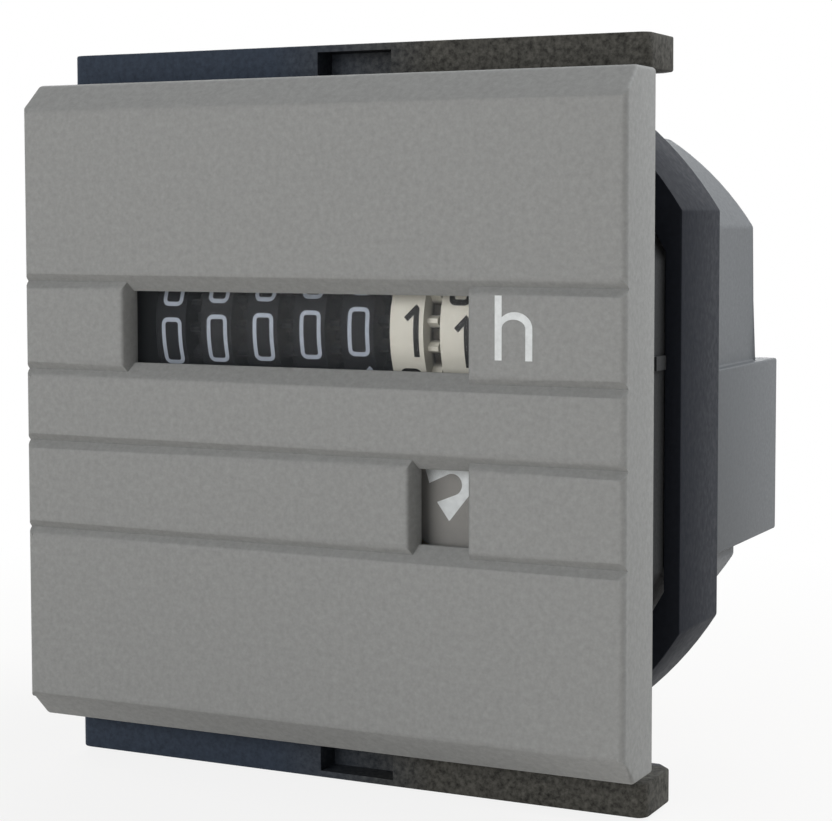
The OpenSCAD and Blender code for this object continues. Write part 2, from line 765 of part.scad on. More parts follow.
module link_gear() {
    color("#e4e2da") difference() {
        union() {
            along_y(link_y, gear_t)
                translate(indicator_at) train_gear(link_teeth, link_module, indicator_phase, wheel_widths);
            along_y(link_y - hub_len, hub_len) translate(indicator_at) circle(arbor_d / 2 + hub_wall);
        }
        along_y(link_y - hub_len - cut, gear_t + hub_len + 2 * cut) translate(indicator_at) circle(arbor_d / 2 + press_gap);
    }
}

// Lightening holes round the middle of a large gear
module gear_windows(pitch_r) {
    for (a = [0:72:288]) rotate(a) translate([window_at * pitch_r, 0]) circle(window_size * pitch_r);
}

module indicator_gear() {
    color("#d9cfa8") difference() {
        union() {
            along_y(level_b, gear_t) translate(indicator_at) difference() {
                train_gear(indicator_teeth, train_module, indicator_phase, wheel_widths);
                gear_windows(train_module * indicator_teeth / 2);
            }
            along_y(level_b - hub_len, hub_len) translate(indicator_at) circle(arbor_d / 2 + hub_wall);
        }
        along_y(level_b - hub_len - cut, gear_t + hub_len + 2 * cut) translate(indicator_at) circle(arbor_d / 2 + press_gap);
    }
}

module layshaft_gear() {
    color("#d9cfa8") {
        along_y(level_c, gear_t) translate(layshaft_at) difference() {
            train_gear(layshaft_teeth, train_module, layshaft_phase, wheel_widths);
            gear_windows(train_module * layshaft_teeth / 2);
        }
        along_y(ledge_y + 0.5, level_c - ledge_y - 0.5)
            translate(layshaft_at) train_pinion(train_module, layshaft_phase);
        along_y(plate_y + pivot_end, motor_y - plate_y - 2 * pivot_end) translate(layshaft_at) circle(pivot_r);
    }
}

// Holes of both gear plates: pivots and post spigots
module plate_holes() {
    translate(layshaft_at) circle(pivot_r + run_gap);
    translate(rotor_at) circle(pivot_r + run_gap);
    for (p = posts_at) translate(p) circle(spigot_r + press_gap);
}

module gear_plate_front() {
    color("#c6b27a") along_y(plate_y, sheet_t) difference() {
        rounded_square(neck_w, neck_d, -case_wall - neck_fit);
        plate_holes();
        translate(indicator_at) circle(arbor_d / 2 + run_gap);
        translate(worm_at) circle(arbor_d / 2 + run_gap);
        for (s = [-1, 1]) translate([s * frame_screw_x, frame_screw_z]) circle(spigot_r + press_gap);
    }
}

module gear_plate_rear() {
    color("#c6b27a") along_y(rear_plate_y, sheet_t) difference() {
        rounded_square(body_w, body_d, -case_wall - plate_inset);
        plate_holes();
        translate(indicator_at) circle(pivot_r + run_gap);
    }
}

module plate_posts() {
    color("#b9bcc0") for (p = posts_at) {
        along_y(ledge_y, rear_plate_y - ledge_y) translate(p) circle(post_r);
        along_y(plate_y, motor_y - plate_y) translate(p) circle(spigot_r);
    }
}

module motor_rotor() {
    color("#3a3b3f") {
        along_y(rotor_y, rotor_len) translate(rotor_at) circle(rotor_d / 2);
        along_y(plate_y + pivot_end, motor_end - plate_y - 2 * pivot_end) translate(rotor_at) circle(pivot_r);
        along_y(level_c - 0.2, rear_plate_y - level_c)
            translate(rotor_at) train_pinion(train_module, rotor_phase);
    }
}

// Ring of pole fingers that stand along the rotor
module pole_fingers(y, len, turn) {
    along_y(y, len) translate(rotor_at)
        intersection() {
            difference() {
                circle(pole_r + pole_t);
                circle(pole_r);
            }
            for (i = [0:pole_pairs - 1])
                rotate(turn + i * 360 / pole_pairs)
                    polygon([[0, 0], 2 * pole_r * [cos(pole_arc / 2), -sin(pole_arc / 2)],
                             2 * pole_r * [cos(pole_arc / 2), sin(pole_arc / 2)]]);
        }
}

// Place of each lead's hole, from the rotor's axis
function lead_from(s) = lead_at * [s * cos(lead_turn), -sin(lead_turn)];

module stator_cup() {
    color("#a9adb2") difference() {
        union() {
            along_y(motor_y, motor_len) translate(rotor_at) difference() {
                circle(motor_d / 2);
                circle(motor_d / 2 - cup_wall);
            }
            along_y(motor_end - cup_wall, cup_wall) translate(rotor_at) circle(motor_d / 2);
            pole_fingers(motor_y + 2 * pole_t, motor_len - 2 * pole_t, 0);
        }
        along_y(motor_end - cup_wall - cut, cup_wall + 2 * cut) {
            translate(rotor_at) circle(pivot_r + run_gap);
            for (s = [-1, 1]) translate(rotor_at + lead_from(s)) circle(lead_hole_r);
        }
    }
}

module pole_plate() {
    color("#a9adb2") {
        along_y(motor_y, pole_t) translate(rotor_at) difference() {
            circle(motor_d / 2 - cup_wall - 0.1);
            circle(pole_r);
        }
        pole_fingers(motor_y, motor_len - cup_wall - 2 * pole_t, 180 / pole_pairs);
    }
}

module coil_bobbin() {
    color("#f0ede2") {
        along_y(spool_y, spool_len) translate(rotor_at) difference() {
            circle(spool_in + spool_wall);
            circle(spool_in);
        }
        for (y = [spool_y, spool_y + spool_len - spool_wall])
            along_y(y, spool_wall) translate(rotor_at) difference() {
                circle(spool_out);
                circle(spool_in);
                for (s = [-1, 1]) translate(lead_from(s)) circle(lead_hole_r);
            }
    }
}

module coil_winding() {
    color("#a8622f") along_y(spool_y + spool_wall, spool_len - 2 * spool_wall) translate(rotor_at) difference() {
        circle(spool_out - 0.2);
        circle(spool_in + spool_wall);
    }
}

// Lead out of the back of the motor and across to the terminal's tab
module coil_lead(s) {
    start = rotor_at + lead_from(s);
    start_y = spool_y + spool_len - spool_wall;
    far = s * terminal_x - start[0];
    color("#b5452c") {
        along_y(start_y, lead_y - start_y) translate(start) circle(lead_r);
        translate([start[0] - s * lead_over, lead_y, lead_z])
            rotate([0, s * 90, 0]) cylinder(abs(far) + 2 * lead_over, sleeve_r, sleeve_r);
    }
}

// Brass strip on the floor of a bay, with a tab through the wall for the coil's lead
module terminal(s) {
    color("#c9a44c") translate([s * terminal_x, 0, 0]) difference() {
        union() {
            translate([-strip_w / 2, bay_floor, -terminal_z - strip_h / 2]) cube([strip_w, strip_t, strip_h]);
            translate([-tab_w / 2, bay_floor - tab_len, tab_z]) cube([tab_w, tab_len, strip_t]);
        }
        along_y(bay_floor - cut, strip_t + 2 * cut) translate([0, -terminal_z]) circle(screw_d / 2 + press_gap);
    }
}

module wire_washer(s) {
    color("#b9bcc0") translate([s * terminal_x, 0, 0])
        along_y(bay_floor + strip_t, washer_t) translate([0, -terminal_z]) difference() {
            square([washer_w, washer_h], center = true);
            circle(screw_d / 2 + 0.15);
        }
}

module terminal_screw(s) {
    head_y = bay_floor + strip_t + washer_t;
    color("#c9ccd0") translate([s * terminal_x, 0, -terminal_z]) difference() {
        union() {
            along_y(bay_floor - shank_len + shank_end, head_y - bay_floor + shank_len - shank_end) circle(screw_d / 2);
            along_y(head_y, head_t) circle(screw_head_d / 2);
        }
        translate([-screw_head_d, head_y + head_t - slot_depth, -slot_w / 2])
            cube([2 * screw_head_d, slot_depth + cut, slot_w]);
    }
}

front_bezel();
window_pane();
meter_case();
clamp_frame();
counter_frame();
frame_screws();
wheel_axle();
pinion_axle();
for (i = [1:wheel_count])
    number_wheel(i);
for (i = [1:pinion_count])
    transfer_pinion(i);
counter_drive_wheel();
worm_shaft();
indicator_disc();
indicator_arbor();
link_gear();
indicator_gear();
layshaft_gear();
gear_plate_front();
gear_plate_rear();
plate_posts();
motor_rotor();
stator_cup();
pole_plate();
coil_bobbin();
coil_winding();
coil_lead(-1);  // coil_lead_left
coil_lead(1);  // coil_lead_right
terminal(-1);  // terminal_left
terminal(1);  // terminal_right
wire_washer(-1);  // wire_washer_left
wire_washer(1);  // wire_washer_right
terminal_screw(-1);  // terminal_screw_left
terminal_screw(1);  // terminal_screw_right
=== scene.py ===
"""Dresses the panel-mount hour meter: moulded bezel, case and clamp frame, printed number wheels,
run indicator, metal and plastic finishes of the drive, and a pale studio stage."""

import json
import math

import bpy
from mathutils import Matrix, Vector

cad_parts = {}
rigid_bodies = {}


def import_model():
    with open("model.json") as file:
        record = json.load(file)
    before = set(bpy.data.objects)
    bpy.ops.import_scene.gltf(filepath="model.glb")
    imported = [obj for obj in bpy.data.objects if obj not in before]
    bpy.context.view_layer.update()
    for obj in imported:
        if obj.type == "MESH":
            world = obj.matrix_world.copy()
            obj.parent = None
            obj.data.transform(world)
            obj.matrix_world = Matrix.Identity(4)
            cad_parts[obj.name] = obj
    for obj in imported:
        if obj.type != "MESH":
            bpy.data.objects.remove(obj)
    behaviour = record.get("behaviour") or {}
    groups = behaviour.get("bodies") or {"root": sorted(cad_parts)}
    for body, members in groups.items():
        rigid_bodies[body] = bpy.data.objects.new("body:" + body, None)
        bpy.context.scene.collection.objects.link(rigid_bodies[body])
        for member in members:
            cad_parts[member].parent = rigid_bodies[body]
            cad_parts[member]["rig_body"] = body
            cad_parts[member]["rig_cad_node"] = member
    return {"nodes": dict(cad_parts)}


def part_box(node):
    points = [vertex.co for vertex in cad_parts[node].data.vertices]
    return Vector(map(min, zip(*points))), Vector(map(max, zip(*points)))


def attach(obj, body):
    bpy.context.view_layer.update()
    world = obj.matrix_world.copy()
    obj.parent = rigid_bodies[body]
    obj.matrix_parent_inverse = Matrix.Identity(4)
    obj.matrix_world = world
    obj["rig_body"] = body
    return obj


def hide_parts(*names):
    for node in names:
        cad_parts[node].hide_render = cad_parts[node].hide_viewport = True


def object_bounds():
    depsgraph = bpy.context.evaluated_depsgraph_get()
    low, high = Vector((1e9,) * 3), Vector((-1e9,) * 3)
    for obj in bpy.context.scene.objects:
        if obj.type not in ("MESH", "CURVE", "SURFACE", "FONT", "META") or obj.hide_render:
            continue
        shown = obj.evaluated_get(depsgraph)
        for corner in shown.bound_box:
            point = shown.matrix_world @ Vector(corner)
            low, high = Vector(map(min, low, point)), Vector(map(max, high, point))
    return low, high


bl_info = {
    "name": "Hour Meter Dressing",
    "version": (1, 0, 0),
    "blender": (4, 5, 0),
    "location": "3D View > Sidebar > Hour Meter",
    "description": "Builds the looks of a panel-mount hour meter on its packed solids",
    "category": "Object",
}

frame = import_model()
CAD_BOX = [list(corner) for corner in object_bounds()]

MM = 0.001
WHEELS = range(1, 8)
BLACK_WHEELS = range(1, 6)
PINIONS = range(1, 7)
DIGIT_STEP = 36.0
# Angle up from the front of each wheel's showing digit, left to right
DIGIT_REST = (-10.9, -8.6, -7.1, -5.0, -2.4, -1.8, -7.5)
SHOWN_DIGITS = (0, 0, 0, 0, 0, 1, 1)
# How far up the wheel, in degrees, the print stands from that angle
PRINT_LEAD = 1.8
# A wheel's printed face starts after the transfer disc on its left; the print stands right of its middle
DISC_WIDTH = 0.38 * MM
HALF_FACE = 1.3 * MM
PRINT_SHIFT = 0.1 * MM
PRINT_MIDDLES = [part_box(f"number_wheel_{i}")[0].x + DISC_WIDTH + HALF_FACE + PRINT_SHIFT for i in WHEELS]
# Places along Y in millimetres: the end of the case's neck, where the case's painted shade stops, and the back of
# the clamp bars, near which the clamp ring's painted shade begins
NECK_END = 17.1
BARS_END = 6.4
PICTURE_WIDTH, PICTURE_HEIGHT = 832, 821
SENSOR_WIDTH = 36


def linear(red, green, blue):
    """A display colour from 0 to 255 as the linear colour that Blender's sockets hold."""
    channels = []
    for value in (red, green, blue):
        share = value / 255
        channels.append(share / 12.92 if share <= 0.04045 else ((share + 0.055) / 1.055) ** 2.4)
    return tuple(channels)


class MeterFinish(bpy.types.PropertyGroup):
    """Colours and edge softness of the visible pieces"""

    bezel_colour: bpy.props.FloatVectorProperty(
        name="Bezel", description="Grey of the moulded bezel", subtype="COLOR", size=3,
        min=0, max=1, default=linear(142, 143, 142))
    case_colour: bpy.props.FloatVectorProperty(
        name="Case", description="Grey of the case behind the panel", subtype="COLOR", size=3,
        min=0, max=1, default=linear(103, 106, 109))
    # Painted shade: the case's neck gets a darker grey than the rest of the case, standing in for the shade it
    # lies in between the bezel and the clamp ring.
    neck_shade_colour: bpy.props.FloatVectorProperty(
        name="Neck", description="Dark grey of the case's neck", subtype="COLOR", size=3,
        min=0, max=1, default=linear(56, 57, 58))
    clamp_colour: bpy.props.FloatVectorProperty(
        name="Clamp bars", description="Blue-black of the clamp bars", subtype="COLOR", size=3,
        min=0, max=1, default=linear(52, 60, 72))
    clamp_grain: bpy.props.FloatVectorProperty(
        name="Clamp bars, right", description="Duller, speckled black of the bars' right half", subtype="COLOR",
        size=3, min=0, max=1, default=linear(70, 69, 65))
    # Painted shade: the clamp ring gets a near-black, darker than the bars, standing in for the shadow the bezel
    # casts on it.
    clamp_ring_shade: bpy.props.FloatVectorProperty(
        name="Clamp ring", description="Near-black of the ring behind the bars", subtype="COLOR", size=3,
        min=0, max=1, default=linear(33, 36, 43))
    dark_wheel_colour: bpy.props.FloatVectorProperty(
        name="Hour wheels", description="Black of the whole-hour wheels", subtype="COLOR", size=3,
        min=0, max=1, default=linear(16, 17, 20))
    pale_wheel_colour: bpy.props.FloatVectorProperty(
        name="Fraction wheels", description="Cream of the two right-hand wheels", subtype="COLOR", size=3,
        min=0, max=1, default=linear(213, 210, 198))
    disc_colour: bpy.props.FloatVectorProperty(
        name="Indicator disc", description="Grey-brown of the run indicator", subtype="COLOR", size=3,
        min=0, max=1, default=linear(134, 132, 128))
    bezel_edge: bpy.props.FloatProperty(
        name="Bezel edge", description="Softness of the bezel's edges", unit="LENGTH",
        default=0.3 * MM, min=0.02 * MM, max=0.5 * MM, precision=5)
    case_edge: bpy.props.FloatProperty(
        name="Case edge", description="Softness of the case's and clamp frame's edges", unit="LENGTH",
        default=0.22 * MM, min=0.02 * MM, max=0.5 * MM, precision=5)


class MeterPrint(bpy.types.PropertyGroup):
    """Printed digits, unit letter and run arrow"""

    digit_height: bpy.props.FloatProperty(
        name="Digit height", description="Height of a digit round the wheel", unit="LENGTH",
        default=3.5 * MM, min=2 * MM, max=4.2 * MM, precision=5)
    digit_width: bpy.props.FloatProperty(
        name="Digit width", description="Width of a digit across the wheel", unit="LENGTH",
        default=1.72 * MM, min=1 * MM, max=2.3 * MM, precision=5)
    digit_stroke: bpy.props.FloatProperty(
        name="Digit stroke", description="Width of the digits' lines", unit="LENGTH",
        default=0.31 * MM, min=0.1 * MM, max=0.7 * MM, precision=5)
    bold_stroke: bpy.props.FloatProperty(
        name="Bold stroke", description="Width of the lines of the dark digits", unit="LENGTH",
        default=0.43 * MM, min=0.1 * MM, max=0.7 * MM, precision=5)
    unit_stroke: bpy.props.FloatProperty(
        name="Unit stroke", description="Width of the unit letter's lines", unit="LENGTH",
        default=0.51 * MM, min=0.2 * MM, max=0.9 * MM, precision=5)
    print_lift: bpy.props.FloatProperty(
        name="Print lift", description="Thickness of the print on its surface", unit="LENGTH",
        default=0.015 * MM, min=0.005 * MM, max=0.05 * MM, precision=6)
    pale_print: bpy.props.FloatVectorProperty(
        name="Pale digits", description="Cool white of the digits on black wheels", subtype="COLOR", size=3,
        min=0, max=1, default=linear(174, 182, 195))
    dark_print: bpy.props.FloatVectorProperty(
        name="Dark digits", description="Black of the digits on cream wheels", subtype="COLOR", size=3,
        min=0, max=1, default=linear(17, 16, 14))
    white_print: bpy.props.FloatVectorProperty(
        name="White print", description="White of the unit letter and the arrow", subtype="COLOR", size=3,
        min=0, max=1, default=linear(226, 230, 231))


class MeterStage(bpy.types.PropertyGroup):
    """Camera, floor and lights"""

    camera_place: bpy.props.FloatVectorProperty(
        name="Camera", description="Place of the camera", subtype="TRANSLATION", size=3,
        default=(71.44 * MM, -133.56 * MM, 13.73 * MM))
    camera_yaw: bpy.props.FloatProperty(
        name="Yaw", description="Turn of the camera to the left", subtype="ANGLE", default=math.radians(26.11))
    camera_pitch: bpy.props.FloatProperty(
        name="Pitch", description="Tilt of the camera above the level", subtype="ANGLE",
        default=math.radians(-3.8))
    camera_roll: bpy.props.FloatProperty(
        name="Roll", description="Roll of the camera", subtype="ANGLE", default=math.radians(-0.09))
    focal_pixels: bpy.props.FloatProperty(
        name="Focal length", description="Focal length in pixels of the picture's width", default=2087, min=500)
    centre_row: bpy.props.FloatProperty(
        name="Centre row", description="Pixel row that the lens axis meets", default=360, min=0,
        max=PICTURE_HEIGHT)
    floor_colour: bpy.props.FloatVectorProperty(
        name="Floor", description="Pale floor", subtype="COLOR", size=3, min=0, max=1, default=(0.66, 0.63, 0.59))
    key_power: bpy.props.FloatProperty(
        name="Key light", description="Power of the key light", unit="POWER", default=1.56, min=0)
    fill_power: bpy.props.FloatProperty(
        name="Fill light", description="Power of the fill light", unit="POWER", default=1.9, min=0)
    back_power: bpy.props.FloatProperty(
        name="Back light", description="Power of the light behind the case", unit="POWER", default=1.3, min=0)
    world_strength: bpy.props.FloatProperty(
        name="Surroundings", description="Strength of the even light all round", default=0.18, min=0)


def deselect():
    """Leaves edit mode and deselects everything."""
    if bpy.context.object and bpy.context.object.mode != "OBJECT":
        bpy.ops.object.mode_set(mode="OBJECT")
    bpy.ops.object.select_all(action="DESELECT")


def make_active(piece):
    """Selects one object alone."""
    deselect()
    piece.select_set(True)
    bpy.context.view_layer.objects.active = piece


def settle(piece, body, material):
    """Applies the piece's place, and gives it its material and the body it moves with."""
    make_active(piece)
    bpy.ops.object.transform_apply(location=True, rotation=True, scale=True)
    piece.data.materials.clear()
    piece.data.materials.append(material)
    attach(piece, body)


def node_tree(name):
    """A new material with its nodes, links and shader."""
    material = bpy.data.materials.new(name)
    material.use_nodes = True
    nodes = material.node_tree.nodes
    links = material.node_tree.links
    return material, nodes, links, nodes["Principled BSDF"]


def in_millimetres(nodes, links, stretch=(1, 1, 1)):
    """Object coordinates in millimetres, stretched along each axis."""
    place = nodes.new("ShaderNodeTexCoord")
    mapping = nodes.new("ShaderNodeMapping")
    mapping.inputs["Scale"].default_value = [share / MM for share in stretch]
    links.new(place.outputs["Object"], mapping.inputs["Vector"])
    return mapping.outputs["Vector"]


def object_noise(nodes, links, scale, detail=2.0, stretch=(1, 1, 1)):
    """Noise on object coordinates; scale counts features per millimetre."""
    noise = nodes.new("ShaderNodeTexNoise")
    noise.inputs["Scale"].default_value = scale
    noise.inputs["Detail"].default_value = detail
    links.new(in_millimetres(nodes, links, stretch), noise.inputs["Vector"])
    return noise


def tinted(nodes, links, factor, low, high):
    """Colour between low and high by a factor output."""
    ramp = nodes.new("ShaderNodeValToRGB")
    ramp.color_ramp.elements[0].position = 0.3
    ramp.color_ramp.elements[1].position = 0.7
    ramp.color_ramp.elements[0].color = (*low, 1)
    ramp.color_ramp.elements[1].color = (*high, 1)
    links.new(factor, ramp.inputs["Fac"])
    return ramp.outputs["Color"]


def spanned(nodes, links, value, start, end, low=0.0, high=1.0):
    """A number from low to high while a value output goes from start to end."""
    span = nodes.new("ShaderNodeMapRange")
    for socket, number in (("From Min", start), ("From Max", end), ("To Min", low), ("To Max", high)):
        span.inputs[socket].default_value = number
    links.new(value, span.inputs["Value"])
    return span.outputs["Result"]


def ranged(nodes, links, factor, low, high):
    """A number between low and high by the middle range of a noise output."""
    return spanned(nodes, links, factor, 0.3, 0.7, low, high)


def bumped(nodes, links, shader, height, strength, depth):
    """Small relief from a height output."""
    bump = nodes.new("ShaderNodeBump")
    bump.inputs["Strength"].default_value = strength
    bump.inputs["Distance"].default_value = depth
    links.new(height, bump.inputs["Height"])
    links.new(bump.outputs["Normal"], shader.inputs["Normal"])


def shaded(colour, share):
    """A colour made lighter or darker by a share."""
    return tuple(min(1.0, c * share) for c in colour)


def along(nodes, links, axis, start, end):
    """Factor from 0 to 1 between two places along an axis of the object, in millimetres."""
    place = nodes.new("ShaderNodeTexCoord")
    parts = nodes.new("ShaderNodeSeparateXYZ")
    links.new(place.outputs["Object"], parts.inputs["Vector"])
    return spanned(nodes, links, parts.outputs[axis], start * MM, end * MM)


def from_axle(nodes, links, axle, start, end):
    """Factor from 0 to 1 between two distances from an axle along X, in millimetres."""
    place = nodes.new("ShaderNodeTexCoord")
    mapping = nodes.new("ShaderNodeMapping")
    mapping.inputs["Location"].default_value = (0, -axle[0], -axle[1])
    mapping.inputs["Scale"].default_value = (0, 1, 1)
    far = nodes.new("ShaderNodeVectorMath")
    far.operation = "LENGTH"
    links.new(place.outputs["Object"], mapping.inputs["Vector"])
    links.new(mapping.outputs["Vector"], far.inputs[0])
    return spanned(nodes, links, far.outputs["Value"], start * MM, end * MM)


def blended(nodes, links, factor, first, second):
    """Mixes two colour outputs by a factor output."""
    mix = nodes.new("ShaderNodeMix")
    mix.data_type = "RGBA"
    links.new(factor, mix.inputs["Factor"])
    links.new(first, mix.inputs[6])
    links.new(second, mix.inputs[7])
    return mix.outputs[2]


def moulded_plastic(name, colour, rough, grain, depth, mottle, specular=0.5, zones=()):
    """Moulded plastic with a fine spark-eroded grain and a faint cloudiness. Each zone is a colour, its
    cloudiness and a function of the nodes and links that goes from 0 to 1 where the zone takes over."""
    material, nodes, links, shader = node_tree(name)
    cloud = object_noise(nodes, links, 2.3, 7.0)
    cloud.inputs["Roughness"].default_value = 0.68
    speck = object_noise(nodes, links, grain, 2.0)
    tint = tinted(nodes, links, cloud.outputs["Fac"], shaded(colour, 1 - mottle), shaded(colour, 1 + mottle))
    for other, spread, split in zones:
        patch = tinted(nodes, links, cloud.outputs["Fac"], shaded(other, 1 - spread), shaded(other, 1 + spread))
        tint = blended(nodes, links, split(nodes, links), tint, patch)
    links.new(tint, shader.inputs["Base Color"])
    links.new(ranged(nodes, links, speck.outputs["Fac"], rough - 0.06, rough + 0.06), shader.inputs["Roughness"])
    bumped(nodes, links, shader, speck.outputs["Fac"], 0.35, depth * MM)
    shader.inputs["Specular IOR Level"].default_value = specular
    return material


def metal(name, colour, rough, stretch):
    """Metal with fine drawn or turned lines."""
    material, nodes, links, shader = node_tree(name)
    lines = object_noise(nodes, links, 4.0, 3.0, stretch)
    tarnish = object_noise(nodes, links, 0.35, 3.0)
    links.new(tinted(nodes, links, tarnish.outputs["Fac"], shaded(colour, 0.85), shaded(colour, 1.08)),
              shader.inputs["Base Color"])
    links.new(ranged(nodes, links, lines.outputs["Fac"], rough - 0.08, rough + 0.1), shader.inputs["Roughness"])
    bumped(nodes, links, shader, lines.outputs["Fac"], 0.4, 0.006 * MM)
    shader.inputs["Metallic"].default_value = 1.0
    return material


def print_ink(name, colour):
    """Pad-printed ink, a little uneven in cover."""
    material, nodes, links, shader = node_tree(name)
    cover = object_noise(nodes, links, 2.2, 3.0)
    links.new(tinted(nodes, links, cover.outputs["Fac"], shaded(colour, 0.88), shaded(colour, 1.04)),
              shader.inputs["Base Color"])
    links.new(ranged(nodes, links, cover.outputs["Fac"], 0.5, 0.62), shader.inputs["Roughness"])
    shader.inputs["Specular IOR Level"].default_value = 0.2
    return material


def clear_plastic(name):
    """Clear pane that shows little but a faint gloss."""
    material, nodes, links, shader = node_tree(name)
    haze = object_noise(nodes, links, 0.3, 2.0)
    links.new(ranged(nodes, links, haze.outputs["Fac"], 0.03, 0.07), shader.inputs["Roughness"])
    shader.inputs["Base Color"].default_value = (0.3, 0.33, 0.36, 1)
    shader.inputs["Alpha"].default_value = 0.03
    material.surface_render_method = "BLENDED"
    return material


def wound_copper(name, colour):
    """Layers of fine enamelled wire round a spool."""
    material, nodes, links, shader = node_tree(name)
    turns = nodes.new("ShaderNodeTexWave")
    turns.bands_direction = "Y"
    turns.inputs["Scale"].default_value = 1.6
    turns.inputs["Distortion"].default_value = 0.6
    links.new(in_millimetres(nodes, links), turns.inputs["Vector"])
    links.new(tinted(nodes, links, turns.outputs["Fac"], shaded(colour, 0.6), colour), shader.inputs["Base Color"])
    bumped(nodes, links, shader, turns.outputs["Fac"], 0.8, 0.05 * MM)
    shader.inputs["Metallic"].default_value = 0.8
    shader.inputs["Roughness"].default_value = 0.35
    return material


def mark_outer_edges(mesh, shortest, least_turn, keep):
    """Gives a bevel weight to the edges that stand out by the least turn or more, in degrees, and have both ends
    where keep says so. Edges below the shortest length count only where they carry on, round the sides, a level
    edge that runs across the whole front. Inner corners stay sharp."""
    whole_front = 40 * MM
    level_slack = 0.001 * MM
    sides = {}
    for face in mesh.polygons:
        for key in face.edge_keys:
            sides.setdefault(key, []).append(face)
    weights = mesh.attributes.new("bevel_weight_edge", "FLOAT", "EDGE")
    short, levels = [], set()
    for edge in mesh.edges:
        faces = sides.get(edge.key, [])
        start, end = (mesh.vertices[i].co for i in edge.vertices)
        if len(faces) != 2 or not (keep(start) and keep(end)):
            continue
        first, second = faces
        stands_out = (second.center - first.center).dot(first.normal - second.normal) < 0
        if not stands_out or first.normal.angle(second.normal, 0) <= math.radians(least_turn):
            continue
        level = abs(start.z - end.z) < level_slack and round(start.z / MM, 2)
        if (end - start).length < shortest:
            short.append((edge.index, level))
            continue
        weights.data[edge.index].value = 1.0
        if abs(end.x - start.x) > whole_front:
            levels.add(level)
    for index, level in short:
        if level in levels:
            weights.data[index].value = 1.0


def softened_copy(node_name, name, edge, segments=3, shortest=0.0, least_turn=32, keep=lambda point: True):
    """Copy of a solid with its doubles merged and its sharp edges rounded. Where a shortest length is given, the
    rounding isn't held back by the shorter edges beside it."""
    make_active(frame["nodes"][node_name])
    bpy.ops.object.duplicate()
    piece = bpy.context.object
    piece.parent = None
    piece.name = name
    piece.data.name = name
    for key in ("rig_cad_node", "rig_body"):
        if key in piece:
            del piece[key]
    make_active(piece)
    bpy.ops.object.mode_set(mode="EDIT")
    bpy.ops.mesh.select_all(action="SELECT")
    bpy.ops.mesh.customdata_custom_splitnormals_clear()
    bpy.ops.mesh.remove_doubles(threshold=0.002 * MM)
    bpy.ops.mesh.dissolve_limited(angle_limit=math.radians(0.6))
    bpy.ops.object.mode_set(mode="OBJECT")
    mark_outer_edges(piece.data, shortest, least_turn, keep)
    bevel = piece.modifiers.new("soft_edges", "BEVEL")
    bevel.width = edge
    bevel.segments = segments
    bevel.limit_method = "WEIGHT"
    bevel.use_clamp_overlap = shortest == 0
    bevel.miter_outer = "MITER_ARC"
    bpy.ops.object.modifier_apply(modifier=bevel.name)
    bpy.ops.object.shade_smooth_by_angle(angle=math.radians(28))
    return piece


def sunken_field(piece, margin, depth):
    """Sinks a shallow field with sloped sides into the largest face that looks back."""
    make_active(piece)
    bpy.ops.object.mode_set(mode="EDIT")
    bpy.ops.mesh.select_mode(type="FACE")
    bpy.ops.mesh.select_all(action="DESELECT")
    bpy.ops.object.mode_set(mode="OBJECT")
    rear = max((face for face in piece.data.polygons if face.normal.y > 0.99), key=lambda face: face.area)
    rear.select = True
    bpy.ops.object.mode_set(mode="EDIT")
    bpy.ops.mesh.inset(thickness=margin, depth=0)
    bpy.ops.mesh.inset(thickness=depth, depth=-depth)
    bpy.ops.object.mode_set(mode="OBJECT")


class METER_OT_bezel(bpy.types.Operator):
    """Moulded bezel with softened edges and a fine matt grain"""

    bl_idname = "hour_meter.bezel"
    bl_label = "Bezel"

    def execute(self, context):
        finish = context.scene.meter_finish
        low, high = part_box("front_bezel")
        face, rim = 0.02 * MM, 0.1 * MM

        def outside(point):
            return (point.y < low.y + face or point.z < low.z + rim or point.z > high.z - rim
                    or abs(point.x) > high.x - rim)

        shell = softened_copy("front_bezel", "bezel_shell", finish.bezel_edge, segments=5, shortest=1.5 * MM,
                              least_turn=20, keep=outside)
        grey = moulded_plastic("bezel_grain", finish.bezel_colour, rough=0.62, grain=5.0, depth=0.03,
                               mottle=0.12, specular=0.3)
        settle(shell, "meter", grey)
        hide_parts("front_bezel")
        return {"FINISHED"}


class METER_OT_case(bpy.types.Operator):
    """Case behind the panel, with softened moulding edges"""

    bl_idname = "hour_meter.case"
    bl_label = "Case"

    def execute(self, context):
        finish = context.scene.meter_finish
        behind_rails = 15 * MM
        shell = softened_copy("meter_case", "case_shell", finish.case_edge, shortest=0.4 * MM,
                              keep=lambda point: point.y > behind_rails)
        sunken_field(shell, margin=1.7 * MM, depth=0.25 * MM)
        # The case in front of NECK_END takes the neck's painted shade colour; behind it the case's own grey takes
        # over.
        body = (finish.case_colour, 0.07, lambda nodes, links: along(nodes, links, "Y", NECK_END - 0.1, NECK_END))
        grey = moulded_plastic("case_satin_shaded_neck", finish.neck_shade_colour, rough=0.55, grain=3.5, depth=0.012, mottle=0.05,
                               specular=0.14, zones=[body])
        settle(shell, "meter", grey)
        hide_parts("meter_case")
        return {"FINISHED"}


